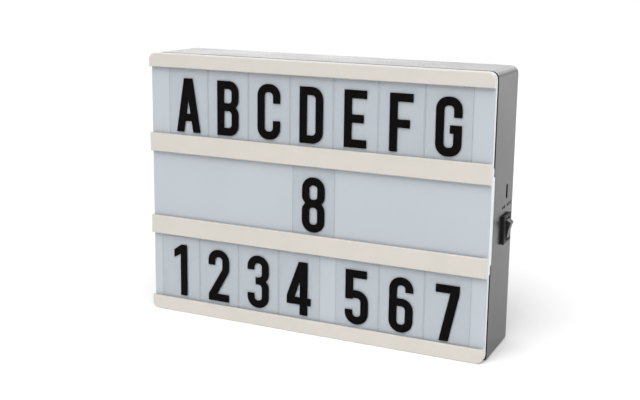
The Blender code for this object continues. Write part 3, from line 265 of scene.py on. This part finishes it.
def surface(name, colour, roughness, variation=0.05, patch=0.02, grain=0.0005, relief=0.00002,
            sheen_range=0.08, smudge=0.03, tint=None, turns=(), **constants):
    """A material with patchy colour, smudged and uneven gloss, and a fine grain in relief.

    Each turn runs over to another colour: (colour, axis, start, end, both ways or not).
    """
    made = bpy.data.materials.new(name)
    made.use_nodes = True
    tree = made.node_tree
    shader = tree.nodes["Principled BSDF"]
    coords = tree.nodes.new("ShaderNodeTexCoord").outputs["Object"]
    patches = noise_field(tree, coords, patch)
    fine = noise_field(tree, coords, grain, 2.0)
    darker = tuple(c * (1 - variation) for c in colour)
    lighter = tint or tuple(min(1.0, c * (1 + variation)) for c in colour)
    shade = blended(tree, spread(tree, patches, 0, 1), darker, lighter)
    for other, *reach in turns:
        shade = blended(tree, reaching(tree, coords, *reach), shade, other)
    tree.links.new(shade, shader.inputs["Base Color"])
    gloss = number_step(tree, "ADD", spread(tree, fine, roughness - sheen_range, roughness + sheen_range),
                        spread(tree, noise_field(tree, coords, 1.5 * patch, 4.0), -smudge, smudge))
    tree.links.new(gloss, shader.inputs["Roughness"])
    bump = tree.nodes.new("ShaderNodeBump")
    bump.inputs["Distance"].default_value = relief
    tree.links.new(fine, bump.inputs["Height"])
    tree.links.new(bump.outputs["Normal"], shader.inputs["Normal"])
    for socket, value in constants.items():
        shader.inputs[socket.replace("_", " ")].default_value = value
    return made


def shade_hollow(finish, low, high):
    """Painted shade inside a box: the colour goes near black and the gloss dull on the cut faces of a hole that
    little light reaches.
    """
    tree = finish.node_tree
    shader = tree.nodes["Principled BSDF"]
    place = tree.nodes.new("ShaderNodeTexCoord").outputs["Object"]
    middle = (low + high) / 2
    place = vector_steps(tree, place, ("SUBTRACT", middle), ("ABSOLUTE", None), ("DIVIDE", high - middle))
    parts = tree.nodes.new("ShaderNodeSeparateXYZ")
    tree.links.new(place, parts.inputs[0])
    reach = parts.outputs["X"]
    for axis in ("Y", "Z"):
        reach = number_step(tree, "MAXIMUM", reach, parts.outputs[axis])
    inside = spread(tree, reach, 1, 0, 0.99, 1.0)
    shade = shader.inputs["Base Color"].links[0].from_socket
    tree.links.new(blended(tree, inside, shade, (0.001, 0.001, 0.001)), shader.inputs["Base Color"])
    gloss = shader.inputs["Roughness"].links[0].from_socket
    tree.links.new(number_step(tree, "ADD", gloss, inside), shader.inputs["Roughness"])


HOUSING = surface("housing_grey", (0.022, 0.021, 0.021), 0.22, variation=0.1, grain=0.0006, relief=0.000008,
                  sheen_range=0.05, smudge=0.02, IOR=1.345)
# Painted highlight: the opal is painted near white along the front's outline, on its edge and the skirt's outer
# faces
OPAL = surface("opal_panel", (0.432, 0.466, 0.503), 0.38, variation=0.02, patch=0.05, relief=0.000005,
               turns=(((0.80, 0.82, 0.84), "RIM", FRONT_CORNER - PAINTED_HIGHLIGHT_WIDTH, FRONT_CORNER),))
# Painted highlight: the rails are painted paler along the front's outline, at their ends and outer edges
CREAM = surface("rail_cream", (0.562, 0.535, 0.486), 0.45, variation=0.03, patch=0.018, grain=0.0008,
                relief=0.00001, tint=(0.572, 0.533, 0.492),
                turns=(((0.72, 0.70, 0.67), "RIM", FRONT_CORNER - PAINTED_HIGHLIGHT_WIDTH, FRONT_CORNER),))
FILM = surface("tile_film", (0.36, 0.40, 0.43), 0.30, variation=0.03, patch=0.01, relief=0.000004, Alpha=0.05)
FILM_EDGE = surface("tile_edge", (0.30, 0.33, 0.36), 0.30, variation=0.05, relief=0.000004, Alpha=0.14)
INK = surface("tile_ink", (0.0034, 0.0028, 0.0028), 0.5, variation=0.3, patch=0.004, grain=0.0003,
              relief=0.000004, Specular_IOR_Level=0.035)
BLACK = surface("rocker_black", (0.012, 0.012, 0.013), 0.36, variation=0.2, patch=0.005, grain=0.0003,
                relief=0.00001, IOR=1.42)
BEZEL = surface("bezel_black", (0.008, 0.008, 0.008), 0.52, variation=0.2, patch=0.005, grain=0.0003,
                relief=0.00003, IOR=1.32)
SOCKET = surface("socket_steel", (0.10, 0.10, 0.105), 0.55, variation=0.1, patch=0.002, grain=0.0003,
                 relief=0.00001, Metallic=1.0)
ZINC = surface("zinc_steel", (0.56, 0.56, 0.57), 0.34, variation=0.1, patch=0.002, grain=0.0003,
               relief=0.00001, Metallic=1.0)
NICKEL = surface("nickel_contact", (0.66, 0.63, 0.58), 0.28, variation=0.06, patch=0.003, Metallic=1.0)
PAPER = surface("reflector_paper", (0.84, 0.84, 0.83), 0.65, variation=0.02, grain=0.0003)
BOARD = surface("board_green", (0.03, 0.16, 0.07), 0.45, variation=0.25, patch=0.002)
SLEEVE = surface("cell_sleeve", (0.09, 0.11, 0.14), 0.32, variation=0.1, patch=0.01,
                 turns=(((0.50, 0.50, 0.51), "X", SLEEVE_REACH, SLEEVE_REACH + SLEEVE_STEP, True),))
LEDS = surface("led_strip", (0.80, 0.80, 0.78), 0.50, variation=0.03, patch=0.01,
               turns=(((0.78, 0.66, 0.22), "Y", LED_FACE_Y + 2 * LED_LAYER, LED_FACE_Y + LED_LAYER, False),))
RED = surface("wire_red", (0.48, 0.03, 0.03), 0.42, variation=0.08, patch=0.01)
DARK = surface("wire_black", (0.02, 0.02, 0.02), 0.42, variation=0.2, patch=0.01)
WHITE = surface("wire_white", (0.74, 0.74, 0.72), 0.42, variation=0.04, patch=0.01)
# Painted shade: the housing's colour goes near black inside the charging slot
shade_hollow(HOUSING, SOCKET_LOW - SLOT_MARGIN, SLOT_MOUTH + SLOT_MARGIN)


# Finish of the carried-over nodes

def smoothing_group(angle):
    """Geometry nodes that drop the imported normals and shade faces smooth up to an angle."""
    group = bpy.data.node_groups.new("smooth_faces", "GeometryNodeTree")
    group.interface.new_socket("Geometry", in_out="INPUT", socket_type="NodeSocketGeometry")
    group.interface.new_socket("Geometry", in_out="OUTPUT", socket_type="NodeSocketGeometry")
    nodes = group.nodes
    start = nodes.new("NodeGroupInput")
    drop = nodes.new("GeometryNodeRemoveAttribute")
    drop.inputs["Name"].default_value = "custom_normal"
    faces = nodes.new("GeometryNodeSetShadeSmooth")
    edges = nodes.new("GeometryNodeSetShadeSmooth")
    edges.domain = "EDGE"
    between = nodes.new("GeometryNodeInputMeshEdgeAngle")
    limit = nodes.new("FunctionNodeCompare")
    limit.data_type = "FLOAT"
    limit.operation = "LESS_THAN"
    limit.inputs["B"].default_value = math.radians(angle)
    end = nodes.new("NodeGroupOutput")
    link = group.links.new
    link(start.outputs["Geometry"], drop.inputs["Geometry"])
    link(drop.outputs["Geometry"], faces.inputs["Geometry"])
    link(faces.outputs["Geometry"], edges.inputs["Geometry"])
    link(between.outputs["Unsigned Angle"], limit.inputs["A"])
    link(limit.outputs["Result"], edges.inputs["Shade Smooth"])
    link(edges.outputs["Geometry"], end.inputs["Geometry"])
    return group


SMOOTH = smoothing_group(SMOOTH_ANGLE)


def dress(name, finish, edge=0.0):
    """Give a carried-over node its material, soft edges and smooth shading."""
    piece = NODES[name]
    for slot in piece.material_slots:
        slot.material = finish
    weld = piece.modifiers.new("weld", "WELD")
    weld.merge_threshold = WELD_REACH
    flatten = piece.modifiers.new("flatten", "DECIMATE")
    flatten.decimate_type = "DISSOLVE"
    flatten.angle_limit = math.radians(FLAT_ANGLE)
    if edge:
        soften = piece.modifiers.new("soften", "BEVEL")
        soften.width = edge
        soften.segments = EDGE_SEGMENTS
        soften.limit_method = "ANGLE"
        soften.angle_limit = math.radians(EDGE_ANGLE)
        soften.miter_outer = "MITER_ARC"
    smooth = piece.modifiers.new("smooth", "NODES")
    smooth.node_group = SMOOTH
    weighted = piece.modifiers.new("weighted", "WEIGHTED_NORMAL")
    weighted.keep_sharp = True
    weighted.weight = 100


def dress_all():
    """Every node that stays, with its finish and edge softening."""
    dress("rear_housing", HOUSING, HOUSING_EDGE)
    dress("battery_door", HOUSING, DOOR_EDGE)
    dress("diffuser_tray", OPAL, TRAY_EDGE)
    for name in ("bottom_rail", "lower_rail", "upper_rail", "top_rail"):
        dress(name, CREAM, RAIL_EDGE)
    dress("switch_body", BEZEL, BEZEL_EDGE)
    dress("switch_rocker", BLACK, ROCKER_EDGE)
    dress("charging_socket", SOCKET)
    dress("reflector_sheet", PAPER)
    dress("control_board", BOARD)
    for name in NODES:
        if name.startswith(("housing_screw", "board_screw", "switch_terminal")):
            dress(name, ZINC)
        elif name.startswith("contact_"):
            dress(name, NICKEL)
        elif name.startswith("battery_cell"):
            dress(name, SLEEVE)
        elif name.startswith("led_strip"):
            dress(name, LEDS)
    for name, finish in (("battery_wire_positive", RED), ("switch_wire", RED), ("battery_wire_negative", DARK),
                         ("strip_feed_wire", WHITE), ("strip_link_lower", WHITE), ("strip_link_upper", WHITE)):
        dress(name, finish)


# Mesh helpers

def corner_arc(before, corner, after, radius):
    """Points of a rounded corner."""
    here = Vector(corner)
    to_before = (Vector(before) - here).normalized()
    to_after = (Vector(after) - here).normalized()
    half = to_before.angle(to_after) / 2
    reach = radius / math.tan(half)
    centre = here + (to_before + to_after).normalized() * radius / math.sin(half)
    first = here + to_before * reach - centre
    last = here + to_after * reach - centre
    turn = first.angle_signed(last)
    points = []
    for step in range(TURN_STEPS + 1):
        rotation = Matrix.Rotation(-turn * step / TURN_STEPS, 2)
        points.append(tuple(centre + rotation @ first))
    return points


def contour(items):
    """Points of one closed outline."""
    def ends(item):
        if len(item) < 5:
            return item[:2], item[:2]
        x, y, radius, start, stop = item
        return [(x + radius * math.cos(math.radians(a)), y + radius * math.sin(math.radians(a)))
                for a in (start, stop)]

    points = []
    for index, item in enumerate(items):
        if len(item) == 2:
            points.append(item)
        elif len(item) == 3:
            before = ends(items[index - 1])[1]
            after = ends(items[(index + 1) % len(items)])[0]
            points.extend(corner_arc(before, item[:2], after, item[2]))
        else:
            x, y, radius, start, stop = item
            for step in range(TURN_STEPS + 1):
                angle = math.radians(start + (stop - start) * step / TURN_STEPS)
                points.append((x + radius * math.cos(angle), y + radius * math.sin(angle)))
    return points


def glyph_curve(name, text, height, thickness, stretch, gap, weight):
    """Flat curve of a few glyphs side by side, from (0, 0) right and up, and its width.

    Weight is the length by which every stroke grows on each side.
    """
    curve = bpy.data.curves.new(name, "CURVE")
    curve.dimensions = "2D"
    curve.fill_mode = "BOTH"
    curve.extrude = thickness / 2
    curve.offset = weight
    scale = height / GRID_HEIGHT
    offset = 0.0
    for sign in text:
        wide = 0.0
        for index, items in enumerate(GLYPHS[sign]):
            points = contour(items)
            if index:
                points.reverse()
            spline = curve.splines.new("POLY")
            spline.points.add(len(points) - 1)
            for target, (x, y) in zip(spline.points, points):
                target.co = ((x + offset) * scale * stretch, y * scale, 0, 1)
            spline.use_cyclic_u = True
            wide = max(wide, *(x for x, y in points))
        offset += wide + gap
    return curve, (offset - gap) * scale * stretch


def glyph_piece(name, text, height, thickness, finish, stretch=1.0, gap=0.0, weight=0.0):
    """Glyphs as a thin solid mesh in the XY plane."""
    curve, wide = glyph_curve(name, text, height, thickness, stretch, gap, weight)
    drawn = bpy.data.objects.new(name + "_outline", curve)
    bpy.context.scene.collection.objects.link(drawn)
    graph = bpy.context.evaluated_depsgraph_get()
    mesh = bpy.data.meshes.new_from_object(drawn.evaluated_get(graph))
    bpy.data.objects.remove(drawn, do_unlink=True)
    mesh.name = name
    mesh.materials.clear()
    mesh.materials.append(finish)
    made = bpy.data.objects.new(name, mesh)
    bpy.context.scene.collection.objects.link(made)
    return made, wide


# Letter tiles

def tile_mesh(low, high):
    """The clear sheet with rounded corners and an edge band, about its lower left front corner."""
    width, depth, height = high - low
    bm = bmesh.new()
    rings = []
    for inset in (TILE_BAND, 0.0):
        ring = []
        radius = TILE_CORNER - inset
        for corner in range(4):
            u_side = 1 if corner in (0, 3) else -1
            v_side = 1 if corner in (0, 1) else -1
            for step in range(TILE_CORNER_STEPS + 1):
                angle = math.radians(90 * (corner + step / TILE_CORNER_STEPS))
                ring.append((width / 2 + u_side * (width / 2 - TILE_CORNER) + radius * math.cos(angle),
                             height / 2 + v_side * (height / 2 - TILE_CORNER) + radius * math.sin(angle)))
        rings.append(ring)
    inner, outer = rings
    loops = [[bm.verts.new((x, y, z)) for x, z in ring]
             for ring, y in ((inner, 0), (outer, 0), (outer, depth), (inner, depth))]
    count = len(inner)
    for near, far in zip(loops, loops[1:]):
        for index in range(count):
            following = (index + 1) % count
            face = bm.faces.new((near[index], near[following], far[following], far[index]))
            face.material_index = 1
    bm.faces.new(loops[0])
    bm.faces.new(loops[-1])
    bmesh.ops.recalc_face_normals(bm, faces=bm.faces)
    mesh = bpy.data.meshes.new("tile_sheet")
    bm.to_mesh(mesh)
    bm.free()
    mesh.materials.append(FILM)
    mesh.materials.append(FILM_EDGE)
    return mesh


def letter_tiles():
    """The clear tiles, each with one printed sign."""
    rows = {"top": ("ABCDEFG", TOP_BASELINE), "middle": ("8", MIDDLE_BASELINE),
            "bottom": ("1234567", BOTTOM_BASELINE)}
    low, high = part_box("letter_tile_top_1")
    sheet = tile_mesh(low, high)
    for row, (signs, baseline) in rows.items():
        for number, sign in enumerate(signs, 1):
            node = "letter_tile_%s_%d" % (row, number)
            body = "tile_%s_%d" % (row, number)
            low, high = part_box(node)
            tile = bpy.data.objects.new("tile_%s_%d_sheet" % (row, number), sheet)
            tile.location = low
            bpy.context.scene.collection.objects.link(tile)
            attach(tile, body)
            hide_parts(node)
            ink, wide = glyph_piece("tile_%s_%d_ink" % (row, number), sign, GLYPH_HEIGHT, INK_THICKNESS, INK)
            ink.rotation_euler = (math.radians(90), 0, 0)
            ink.location = ((low.x + high.x - wide) / 2, low.y - INK_LIFT - INK_THICKNESS / 2,
                            baseline - PRINTED_LOWER.get(node, 0))
            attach(ink, body)


def wall_print():
    """ON and OFF printed on the right wall above the switch."""
    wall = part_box("rear_housing")[1].x
    for word, centre_y in (("ON", PRINT_ON_CENTRE), ("OFF", PRINT_OFF_CENTRE)):
        made, wide = glyph_piece("print_" + word.lower(), word, PRINT_HEIGHT, PRINT_THICKNESS, INK,
                                 PRINT_STRETCH, PRINT_GAP, PRINT_WEIGHT)
        made.rotation_euler = (math.radians(90), 0, math.radians(90))
        made.location = (wall + INK_LIFT + PRINT_THICKNESS / 2, centre_y - wide / 2, PRINT_BASE)
        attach(made, "light_box")


# Studio

def area_light(name, place, target, size, power):
    """A soft lamp that faces a point."""
    data = bpy.data.lights.new(name, "AREA")
    data.shape = "RECTANGLE"
    data.size, data.size_y = size
    data.energy = power
    lamp = bpy.data.objects.new(name, data)
    lamp.location = place
    lamp.rotation_euler = (Vector(target) - Vector(place)).to_track_quat("-Z", "Y").to_euler()
    bpy.context.scene.collection.objects.link(lamp)


def sky_light(name, direction, angle, strength):
    """A wide, even light from one side of the sky."""
    data = bpy.data.lights.new(name, "SUN")
    data.angle = math.radians(angle)
    data.energy = strength
    lamp = bpy.data.objects.new(name, data)
    lamp.rotation_euler = Vector(direction).to_track_quat("Z", "Y").to_euler()
    bpy.context.scene.collection.objects.link(lamp)


def studio_air():
    """Soft light from all round, with a pale backdrop low behind the box."""
    world = bpy.data.worlds.new("studio_air")
    bpy.context.scene.world = world
    world.use_nodes = True
    tree = world.node_tree
    sky = tree.nodes["Background"]
    sky.inputs["Color"].default_value = (1.0, 1.0, 1.0, 1)
    direction = tree.nodes.new("ShaderNodeTexCoord").outputs["Generated"]
    parts = tree.nodes.new("ShaderNodeSeparateXYZ")
    tree.links.new(direction, parts.inputs[0])
    along = vector_steps(tree, direction, ("DOT_PRODUCT", BACKDROP_SIDE))
    backdrop = number_step(tree, "MULTIPLY", spread(tree, along, 0, 1, *BACKDROP_TURN),
                           spread(tree, parts.outputs["Z"], 1, 0, *BACKDROP_RISE))
    tree.links.new(spread(tree, backdrop, AIR_LIGHT, BACKDROP_LIGHT, 0, 1), sky.inputs["Strength"])


def studio_floor():
    """A pale floor disc."""
    bm = bmesh.new()
    bmesh.ops.create_circle(bm, cap_ends=True, radius=FLOOR_RADIUS, segments=FLOOR_SIDES)
    mesh = bpy.data.meshes.new("studio_floor")
    bm.to_mesh(mesh)
    bm.free()
    mesh.materials.append(surface("floor_pale", (0.95, 0.95, 0.95), 0.7, variation=0.01, patch=0.5,
                                  grain=0.01, relief=0.00001))
    floor = bpy.data.objects.new("studio_floor", mesh)
    bpy.context.scene.collection.objects.link(floor)


def studio_camera():
    """The camera, placed to frame the front and the right side, with its shift."""
    camera = bpy.data.cameras.new("camera")
    camera.sensor_width = CAMERA_SENSOR
    camera.lens = CAMERA_LENS
    camera.shift_x, camera.shift_y = CAMERA_SHIFT
    taken = bpy.data.objects.new("camera", camera)
    azimuth, elevation, roll = (math.radians(a) for a in (CAMERA_AZIMUTH, CAMERA_ELEVATION, CAMERA_ROLL))
    back = Vector((math.sin(azimuth) * math.cos(elevation), -math.cos(azimuth) * math.cos(elevation),
                   math.sin(elevation)))
    level = Vector((math.cos(azimuth), math.sin(azimuth), 0))
    right = level * math.cos(roll) + back.cross(level) * math.sin(roll)
    turned = Matrix((right, back.cross(right), back)).transposed().to_4x4()
    taken.matrix_world = Matrix.Translation(CAMERA_PLACE) @ turned
    bpy.context.scene.collection.objects.link(taken)
    bpy.context.scene.camera = taken
    bpy.context.scene.view_settings.view_transform = "Standard"


dress_all()
letter_tiles()
wall_print()
studio_air()
studio_floor()
sky_light("overhead_light", *OVERHEAD)
for lamp_name, lamp in LAMPS.items():
    area_light(lamp_name, *lamp)
studio_camera()
